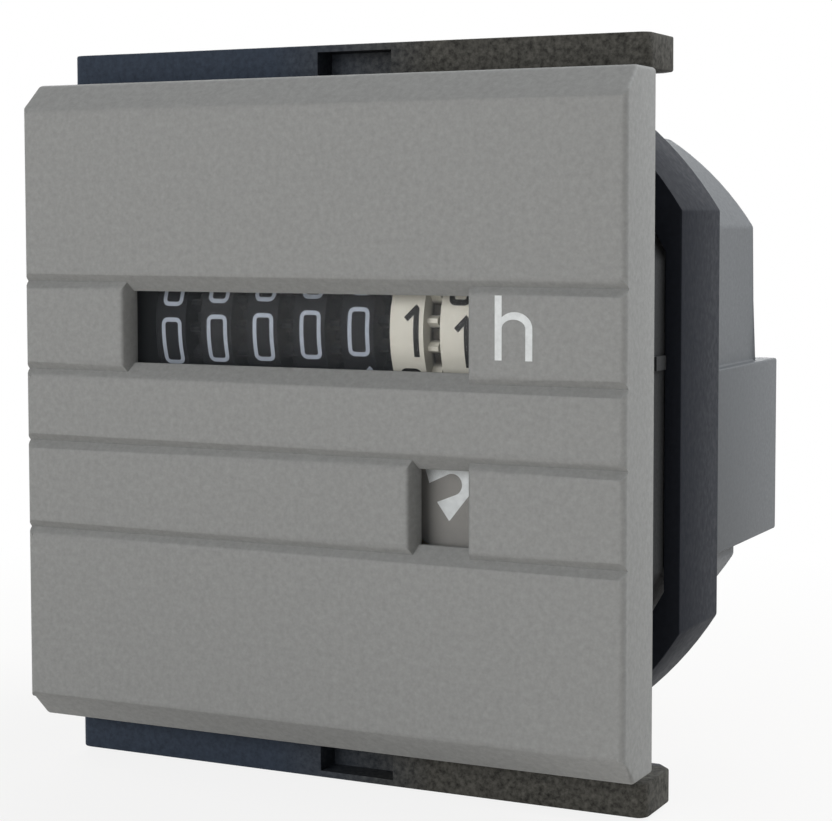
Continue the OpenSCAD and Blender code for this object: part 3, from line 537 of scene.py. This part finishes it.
class METER_OT_clamp(bpy.types.Operator):
    """Clamp frame in black plastic with a coarse grain"""

    bl_idname = "hour_meter.clamp"
    bl_label = "Clamp frame"

    def execute(self, context):
        finish = context.scene.meter_finish
        shell = softened_copy("clamp_frame", "clamp_shell", finish.case_edge, segments=2)
        right = (finish.clamp_grain, 0.8, lambda nodes, links: along(nodes, links, "X", -6.0, 7.0))
        # From half a millimetre in front of the back of the bars, the clamp frame takes the ring's painted shade
        # colour.
        ring = (finish.clamp_ring_shade, 0.12, lambda nodes, links: along(
            nodes, links, "Y", BARS_END - 1.0, BARS_END - 0.5))
        black = moulded_plastic("clamp_black_ring_shade", finish.clamp_colour, rough=0.6, grain=2.2, depth=0.05, mottle=0.26,
                                specular=0.07, zones=[right, ring])
        settle(shell, "clamp", black)
        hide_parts("clamp_frame")
        return {"FINISHED"}


def arc(centre, radius, start, end, steps=8):
    """Points on an arc, in degrees from the right, as x, z pairs."""
    points = []
    for i in range(steps + 1):
        angle = math.radians(start + (end - start) * i / steps)
        points.append((centre[0] + radius * math.cos(angle), centre[1] + radius * math.sin(angle)))
    return points


def finely(points, closed, step):
    """The same line with points no further apart than step."""
    ends = points[1:] + points[:1] if closed else points[1:]
    out = []
    for a, b in zip(points, ends):
        parts = max(1, math.ceil(math.dist(a, b) / step))
        out += [(a[0] + (b[0] - a[0]) * i / parts, a[1] + (b[1] - a[1]) * i / parts) for i in range(parts)]
    return out if closed else out + [points[-1]]


def digit_lines(digit, width, height, stroke):
    """Centre lines of a digit about its middle, as (points, closed) pairs that don't cross."""
    w, h, r, half = width / 2, height / 2, width * 0.25, stroke / 2
    top_left = arc((r - w, h - r), r, 180, 90)
    top_right = arc((w - r, h - r), r, 90, 0)
    low_right = arc((w - r, r - h), r, 0, -90)
    low_left = arc((r - w, r - h), r, 270, 180)
    waist = 0.1 * h
    if digit == 0:
        return [(top_left + top_right + low_right + low_left, True)]
    if digit == 1:
        flag = (w - 0.62 * width, h - 0.5 * width)
        return [([(w, -h - half), (w, h + 0.2 * half), (w - 0.3 * half, h + 0.5 * half), flag], False)]
    if digit == 2:
        return [([(-w, 0.5 * h)] + top_left + top_right + [(w, 0.2 * h), (-w, -h), (w, -h)], False)]
    if digit == 3:
        bowl = arc((w - r, waist - r), r, 90, 0) + low_right + low_left + [(-w, -0.55 * h)]
        return [([(-w, h), (w, h), (-0.1 * w, waist)] + bowl, False)]
    if digit == 4:
        bar, stem = -0.4 * h, 0.45 * w
        return [([(-0.1 * w, h), (-w, bar), (w, bar)], False), ([(stem, 0.15 * h), (stem, bar + half)], False),
                ([(stem, bar - half), (stem, -h)], False)]
    if digit == 5:
        bowl = arc((w - r, waist - r), r, 90, 0) + low_right + low_left + [(-w, -0.55 * h)]
        return [([(w, h), (-w, h), (-w, waist)] + bowl, False)]
    if digit in (6, 9):
        line = [(w, 0.4 * h)] + top_right[::-1] + top_left[::-1] + low_left[::-1] + low_right[::-1]
        line += arc((w - r, waist - r), r, 0, 90) + [(half - w, waist)]
        return [(line if digit == 6 else [(-x, -z) for x, z in line], False)]
    if digit == 7:
        return [([(-w, h), (w, h), (-0.2 * w, -h)], False)]
    return [(top_left + top_right + low_right + low_left, True), ([(half - w, waist), (w - half, waist)], False)]


def add_line(curve, points, closed):
    """Adds a straight-sided line to a flat curve."""
    spline = curve.splines.new("POLY")
    spline.points.add(len(points) - 1)
    for point, (x, z) in zip(spline.points, points):
        point.co = (x, z, 0, 1)
    spline.use_cyclic_u = closed


def flat_print(name, curve):
    """Mesh of a flat curve, set up in the x, z plane with its faces to the front."""
    piece = bpy.data.objects.new(name, curve)
    bpy.context.scene.collection.objects.link(piece)
    make_active(piece)
    bpy.ops.object.convert(target="MESH")
    piece = bpy.context.object
    piece.rotation_euler = (math.radians(90), 0, 0)
    make_active(piece)
    bpy.ops.object.transform_apply(location=True, rotation=True, scale=True)
    face_forward(piece)
    return piece


def ribbon(name, lines, stroke, step):
    """Flat lines of even width in the x, z plane, as a mesh."""
    deselect()
    profile = bpy.data.curves.new(name + "_width", "CURVE")
    add_line(profile, [(-stroke / 2, 0), (stroke / 2, 0)], False)
    pen = bpy.data.objects.new(name + "_width", profile)
    bpy.context.scene.collection.objects.link(pen)
    curve = bpy.data.curves.new(name, "CURVE")
    curve.dimensions = "2D"
    curve.fill_mode = "NONE"
    curve.bevel_mode = "OBJECT"
    curve.bevel_object = pen
    for points, closed in lines:
        add_line(curve, finely(points, closed, step), closed)
    piece = flat_print(name, curve)
    bpy.data.objects.remove(pen)
    return piece


def filled(name, outline):
    """Flat filled outline in the x, z plane, as a mesh."""
    deselect()
    curve = bpy.data.curves.new(name, "CURVE")
    curve.dimensions = "2D"
    curve.fill_mode = "BOTH"
    add_line(curve, outline, True)
    return flat_print(name, curve)


def face_forward(piece):
    """Turns every face of a flat print towards the front."""
    make_active(piece)
    bpy.ops.object.mode_set(mode="EDIT")
    bpy.ops.mesh.select_all(action="DESELECT")
    bpy.ops.object.mode_set(mode="OBJECT")
    for face in piece.data.polygons:
        face.select = face.normal.y > 0
    bpy.ops.object.mode_set(mode="EDIT")
    bpy.ops.mesh.flip_normals()
    bpy.ops.object.mode_set(mode="OBJECT")


def wheel_digit(wheel, digit, angle, ink):
    """One digit wrapped on a number wheel, its middle at that angle up from the front."""
    low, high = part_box(f"number_wheel_{wheel}")
    axis = Vector((0, (low.y + high.y) / 2, (low.z + high.z) / 2))
    radius = (high.z - low.z) / 2
    stroke = ink.digit_stroke if wheel in BLACK_WHEELS else ink.bold_stroke
    lines = digit_lines(digit, ink.digit_width - stroke, ink.digit_height - stroke, stroke)
    piece = ribbon(f"digit_{wheel}_{digit}", lines, stroke, step=0.25 * MM)
    clear_of_wheel = 0.5 * MM
    piece.location = (PRINT_MIDDLES[wheel - 1], -radius - clear_of_wheel, 0)
    make_active(piece)
    bpy.ops.object.transform_apply(location=True, rotation=False, scale=False)
    piece.location = axis
    piece.rotation_euler = (-math.radians(angle), 0, 0)
    wrap = piece.modifiers.new("wrap", "SHRINKWRAP")
    wrap.target = frame["nodes"][f"number_wheel_{wheel}"]
    wrap.wrap_method = "PROJECT"
    wrap.use_project_x = False
    wrap.use_project_y = True
    wrap.use_project_z = False
    wrap.use_positive_direction = True
    wrap.use_negative_direction = False
    wrap.wrap_mode = "ABOVE_SURFACE"
    wrap.offset = ink.print_lift
    bpy.context.view_layer.update()
    make_active(piece)
    bpy.ops.object.modifier_apply(modifier=wrap.name)
    bpy.ops.object.transform_apply(location=True, rotation=True, scale=True)
    return piece


class METER_OT_digits(bpy.types.Operator):
    """Ten printed digits round each number wheel"""

    bl_idname = "hour_meter.digits"
    bl_label = "Wheel digits"

    def execute(self, context):
        ink = context.scene.meter_print
        pale = print_ink("pale_ink", ink.pale_print)
        dark = print_ink("dark_ink", ink.dark_print)
        for wheel in WHEELS:
            shown = SHOWN_DIGITS[wheel - 1]
            rest = DIGIT_REST[wheel - 1] + PRINT_LEAD
            digits = []
            for digit in range(10):
                angle = rest - DIGIT_STEP * (digit - shown)
                digits.append(wheel_digit(wheel, digit, angle, ink))
            deselect()
            for digit in digits:
                digit.select_set(True)
            bpy.context.view_layer.objects.active = digits[0]
            bpy.ops.object.join()
            band = bpy.context.object
            band.name = f"digits_wheel_{wheel}"
            black = wheel in BLACK_WHEELS
            settle(band, f"wheel_{wheel}", pale if black else dark)
        return {"FINISHED"}


class METER_OT_unit(bpy.types.Operator):
    """Printed letter h to the right of the counter window"""

    bl_idname = "hour_meter.unit"
    bl_label = "Unit letter"

    def execute(self, context):
        ink = context.scene.meter_print
        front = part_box("front_bezel")[0].y
        stroke = ink.unit_stroke
        left, right = 14.66 * MM, 17.4 * MM
        low, high, crown = 4.41 * MM, 8.77 * MM, 7.68 * MM
        inner, leg = left + stroke, right - stroke
        reach, spring = 0.47 * (right - left), 6.56 * MM
        middle, wide = right - reach, (leg - inner) / 2
        join = math.degrees(math.acos((inner - middle) / reach))
        outline = [(left, low), (left, high), (inner, high)]
        outline += [(middle + reach * x, spring + (crown - spring) * z) for x, z in arc((0, 0), 1, join, 0, 18)]
        outline += [(right, low), (leg, low)]
        outline += [(leg - wide + wide * x, spring + (crown - spring - stroke) * z)
                    for x, z in arc((0, 0), 1, 0, 180, 22)]
        outline += [(inner, low)]
        letter = filled("unit_h", outline)
        letter.location = (0, front - ink.print_lift, 0)
        settle(letter, "meter", print_ink("unit_ink", ink.white_print))
        return {"FINISHED"}


class METER_OT_arrow(bpy.types.Operator):
    """White turning arrow printed on the run indicator's disc"""

    bl_idname = "hour_meter.arrow"
    bl_label = "Run arrow"

    def execute(self, context):
        ink = context.scene.meter_print
        low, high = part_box("indicator_disc")
        middle = Vector(((low.x + high.x) / 2, low.y - ink.print_lift, (low.z + high.z) / 2))
        turn, lean = (0.02, 0.24), 22
        outline = arc(turn, 0.76, lean + 90, lean - 90, 18)
        outline += [(-1.15, -1.04), (-0.2, -2.34), (1.86, 0.2)]
        outline += arc(turn, 1.8, -1, lean + 90, 18) + [(-2.08, 1.37), (-1.74, 0.26)]
        arrow = filled("run_arrow", [(x * MM, z * MM) for x, z in outline])
        arrow.location = middle
        settle(arrow, "indicator", print_ink("arrow_ink", ink.white_print))
        return {"FINISHED"}


class METER_OT_finishes(bpy.types.Operator):
    """Plastic and metal finishes of the wheels, the drive, the motor and the terminals"""

    bl_idname = "hour_meter.finishes"
    bl_label = "Inner finishes"

    def execute(self, context):
        finish = context.scene.meter_finish
        black = moulded_plastic("wheel_black", finish.dark_wheel_colour, 0.6, 5.0, 0.008, 0.1, 0.1)
        low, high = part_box("number_wheel_1")
        axle = ((low.y + high.y) / 2, (low.z + high.z) / 2)
        # Painted shade: the cream wheels are dark brown within 5.5 mm of the axle, blending to cream by 6 mm. This
        # stands in for the shade between their teeth.
        face = (finish.pale_wheel_colour, 0.05, lambda nodes, links: from_axle(nodes, links, axle, 5.5, 6.0))
        cream = moulded_plastic("wheel_cream", linear(84, 79, 70), 0.5, 5.0, 0.006, 0.05, 0.4, [face])
        acetal = moulded_plastic("natural_acetal", linear(226, 222, 210), 0.42, 3.0, 0.006, 0.04)
        amber = moulded_plastic("amber_acetal", linear(214, 203, 160), 0.42, 3.0, 0.006, 0.05)
        steel = metal("drawn_steel", linear(186, 190, 194), 0.3, (0.2, 1, 1))
        zinc = metal("zinc_sheet", linear(172, 177, 182), 0.38, (1, 1, 0.25))
        brass = metal("rolled_brass", linear(205, 178, 110), 0.34, (1, 1, 0.2))
        turned = metal("turned_brass", linear(212, 176, 96), 0.26, (1, 6, 1))
        magnet = moulded_plastic("ferrite", linear(62, 62, 66), 0.6, 2.0, 0.02, 0.12)
        disc = moulded_plastic("indicator_grey", finish.disc_colour, 0.6, 4.0, 0.008, 0.05, 0.3)
        nylon = moulded_plastic("bobbin_nylon", linear(238, 234, 220), 0.45, 3.0, 0.006, 0.03)
        copper = wound_copper("enamelled_copper", linear(188, 104, 58))
        sleeve = moulded_plastic("lead_sleeve", linear(170, 54, 40), 0.4, 3.0, 0.006, 0.05)
        given = {"window_pane": clear_plastic("clear_pane"), "counter_frame": zinc, "plate_posts": zinc,
                 "wheel_axle": steel, "pinion_axle": steel, "indicator_arbor": steel, "frame_screws": steel,
                 "counter_drive_wheel": acetal, "link_gear": acetal, "indicator_gear": amber,
                 "layshaft_gear": amber, "worm_shaft": turned, "indicator_disc": disc,
                 "gear_plate_front": brass, "gear_plate_rear": brass, "motor_rotor": magnet,
                 "stator_cup": zinc, "pole_plate": zinc, "coil_bobbin": nylon, "coil_winding": copper}
        for side in ("left", "right"):
            given[f"coil_lead_{side}"] = sleeve
            given[f"terminal_{side}"] = turned
            given[f"wire_washer_{side}"] = steel
            given[f"terminal_screw_{side}"] = steel
        for wheel in WHEELS:
            given[f"number_wheel_{wheel}"] = black if wheel in BLACK_WHEELS else cream
        for pinion in PINIONS:
            given[f"transfer_pinion_{pinion}"] = acetal
        for name, material in given.items():
            node = frame["nodes"][name]
            node.data.materials.clear()
            node.data.materials.append(material)
        return {"FINISHED"}


def area_light(name, place, target, size, power, colour=(1, 1, 1)):
    """Soft rectangular light aimed at a target."""
    lamp = bpy.data.lights.new(name, "AREA")
    lamp.shape = "RECTANGLE"
    lamp.size, lamp.size_y = size
    lamp.energy = power
    lamp.color = colour
    holder = bpy.data.objects.new(name, lamp)
    bpy.context.scene.collection.objects.link(holder)
    holder.location = place
    holder.rotation_euler = (Vector(target) - Vector(place)).to_track_quat("-Z", "Y").to_euler()


def white_for_camera(nodes, links):
    """1 for what the camera, mirrors and clear pieces see, and 0 for the light that falls on the object."""
    path = nodes.new("ShaderNodeLightPath")
    first = nodes.new("ShaderNodeMath")
    first.operation = "MAXIMUM"
    second = nodes.new("ShaderNodeMath")
    second.operation = "MAXIMUM"
    links.new(path.outputs["Is Camera Ray"], first.inputs[0])
    links.new(path.outputs["Is Glossy Ray"], first.inputs[1])
    links.new(first.outputs["Value"], second.inputs[0])
    links.new(path.outputs["Is Transmission Ray"], second.inputs[1])
    return second.outputs["Value"]


class METER_OT_stage(bpy.types.Operator):
    """Pale floor, soft studio light and the camera"""

    bl_idname = "hour_meter.stage"
    bl_label = "Stage"

    def execute(self, context):
        stage = context.scene.meter_stage
        context.scene.view_settings.view_transform = "Standard"
        self.floor(stage)
        self.world(stage)
        area_light("key_light", (-0.11, -0.46, 0.07), (0, 0, 0), (0.34, 0.3), stage.key_power)
        area_light("side_light", (0.27, 0.22, 0.31), (0, 0.01, 0), (0.3, 0.3), stage.fill_power, (0.96, 0.98, 1))
        area_light("back_light", (-0.24, 0.42, 0.16), (0, 0.02, 0), (0.36, 0.36), stage.back_power)
        self.camera(stage)
        return {"FINISHED"}

    def floor(self, stage):
        """Pale floor that fades to white a little way from the object and keeps its shadow."""
        deselect()
        below = 0.3 * MM
        bpy.ops.mesh.primitive_plane_add(size=4, location=(0, 0, CAD_BOX[0][2] - below))
        floor = bpy.context.object
        floor.name = "floor"
        material, nodes, links, shader = node_tree("pale_floor")
        shader.inputs["Base Color"].default_value = (*stage.floor_colour, 1)
        shader.inputs["Roughness"].default_value = 0.9
        shader.inputs["Specular IOR Level"].default_value = 0.1
        glow = nodes.new("ShaderNodeEmission")
        mix = nodes.new("ShaderNodeMixShader")
        seen = white_for_camera(nodes, links)
        place = nodes.new("ShaderNodeTexCoord")
        far = nodes.new("ShaderNodeVectorMath")
        far.operation = "LENGTH"
        links.new(place.outputs["Object"], far.inputs[0])
        fade = spanned(nodes, links, far.outputs["Value"], 0.03, 0.12, low=0.86)
        share = nodes.new("ShaderNodeMath")
        share.operation = "MULTIPLY"
        links.new(seen, share.inputs[0])
        links.new(fade, share.inputs[1])
        links.new(share.outputs["Value"], mix.inputs["Fac"])
        links.new(shader.outputs["BSDF"], mix.inputs[1])
        links.new(glow.outputs["Emission"], mix.inputs[2])
        links.new(mix.outputs["Shader"], nodes["Material Output"].inputs["Surface"])
        floor.data.materials.append(material)

    def world(self, stage):
        """Even light all round, seen as white."""
        world = bpy.data.worlds.new("studio")
        bpy.context.scene.world = world
        world.use_nodes = True
        nodes, links = world.node_tree.nodes, world.node_tree.links
        soft = nodes["Background"]
        soft.inputs["Color"].default_value = (1, 1, 1, 1)
        soft.inputs["Strength"].default_value = stage.world_strength
        white = nodes.new("ShaderNodeBackground")
        white.inputs["Color"].default_value = (1, 1, 1, 1)
        white.inputs["Strength"].default_value = 1.0
        mix = nodes.new("ShaderNodeMixShader")
        links.new(white_for_camera(nodes, links), mix.inputs["Fac"])
        links.new(soft.outputs["Background"], mix.inputs[1])
        links.new(white.outputs["Background"], mix.inputs[2])
        links.new(mix.outputs["Shader"], nodes["World Output"].inputs["Surface"])

    def camera(self, stage):
        """Camera at its place, turned by yaw, pitch and roll."""
        lens = bpy.data.cameras.new("photo_camera")
        lens.sensor_width = SENSOR_WIDTH
        lens.lens = stage.focal_pixels * SENSOR_WIDTH / PICTURE_WIDTH
        lens.shift_y = (stage.centre_row - PICTURE_HEIGHT / 2) / PICTURE_WIDTH
        lens.clip_start = 0.005
        lens.clip_end = 20
        holder = bpy.data.objects.new("photo_camera", lens)
        bpy.context.scene.collection.objects.link(holder)
        yaw, pitch, roll = stage.camera_yaw, stage.camera_pitch, stage.camera_roll
        ahead = Vector((-math.sin(yaw) * math.cos(pitch), math.cos(yaw) * math.cos(pitch), math.sin(pitch)))
        right = Vector((math.cos(yaw), math.sin(yaw), 0))
        up = right.cross(ahead)
        across = right * math.cos(roll) + up * math.sin(roll)
        upright = up * math.cos(roll) - right * math.sin(roll)
        turn = Matrix((across, upright, -ahead)).transposed()
        holder.matrix_world = Matrix.Translation(stage.camera_place) @ turn.to_4x4()
        bpy.context.scene.camera = holder


OPERATORS = (METER_OT_bezel, METER_OT_case, METER_OT_clamp, METER_OT_finishes, METER_OT_digits, METER_OT_unit,
             METER_OT_arrow, METER_OT_stage)


class METER_PT_panel(bpy.types.Panel):
    """Steps and settings of the hour meter"""

    bl_idname = "METER_PT_panel"
    bl_label = "Hour Meter"
    bl_space_type = "VIEW_3D"
    bl_region_type = "UI"
    bl_category = "Hour Meter"

    def draw(self, context):
        layout = self.layout
        for group in (context.scene.meter_finish, context.scene.meter_print, context.scene.meter_stage):
            box = layout.box()
            for name in group.__annotations__:
                box.prop(group, name)
        for step in OPERATORS:
            layout.operator(step.bl_idname)


CLASSES = (MeterFinish, MeterPrint, MeterStage, *OPERATORS, METER_PT_panel)


def register():
    for item in CLASSES:
        bpy.utils.register_class(item)
    bpy.types.Scene.meter_finish = bpy.props.PointerProperty(type=MeterFinish)
    bpy.types.Scene.meter_print = bpy.props.PointerProperty(type=MeterPrint)
    bpy.types.Scene.meter_stage = bpy.props.PointerProperty(type=MeterStage)


def unregister():
    del bpy.types.Scene.meter_stage
    del bpy.types.Scene.meter_print
    del bpy.types.Scene.meter_finish
    for item in reversed(CLASSES):
        bpy.utils.unregister_class(item)


def main():
    register()
    bpy.ops.hour_meter.bezel()
    bpy.ops.hour_meter.case()
    bpy.ops.hour_meter.clamp()
    bpy.ops.hour_meter.finishes()
    bpy.ops.hour_meter.digits()
    bpy.ops.hour_meter.unit()
    bpy.ops.hour_meter.arrow()
    bpy.ops.hour_meter.stage()


if __name__ == "__main__":
    main()
